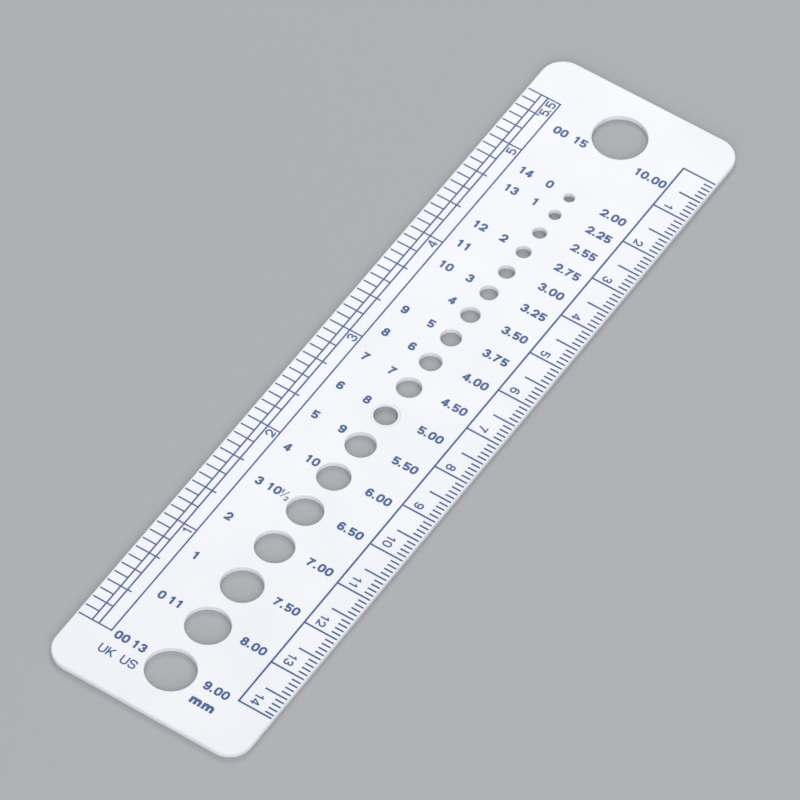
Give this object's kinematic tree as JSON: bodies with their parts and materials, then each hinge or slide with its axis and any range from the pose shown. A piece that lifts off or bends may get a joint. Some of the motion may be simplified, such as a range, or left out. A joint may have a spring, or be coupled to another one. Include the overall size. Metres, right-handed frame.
{
  "type": "knitting needle gauge",
  "caption": "Flat rounded plate with a graduated row of round holes for sizing needles, and a rule printed along each long edge.",
  "frame": {"origin": "middle of the plain back face, which the plate lies on", "axes": "+X across the plate, +Y along it towards the largest hole, +Z out of the printed face"},
  "size_m": [0.0396, 0.16, 0.0011],
  "materials": {
    "plate_white": "moulded, satin gloss",
    "print_blue": "printed ink"
  },
  "bodies": {
    "root": {"gauge_plate": "plate_white"}
  },
  "joints": []
}
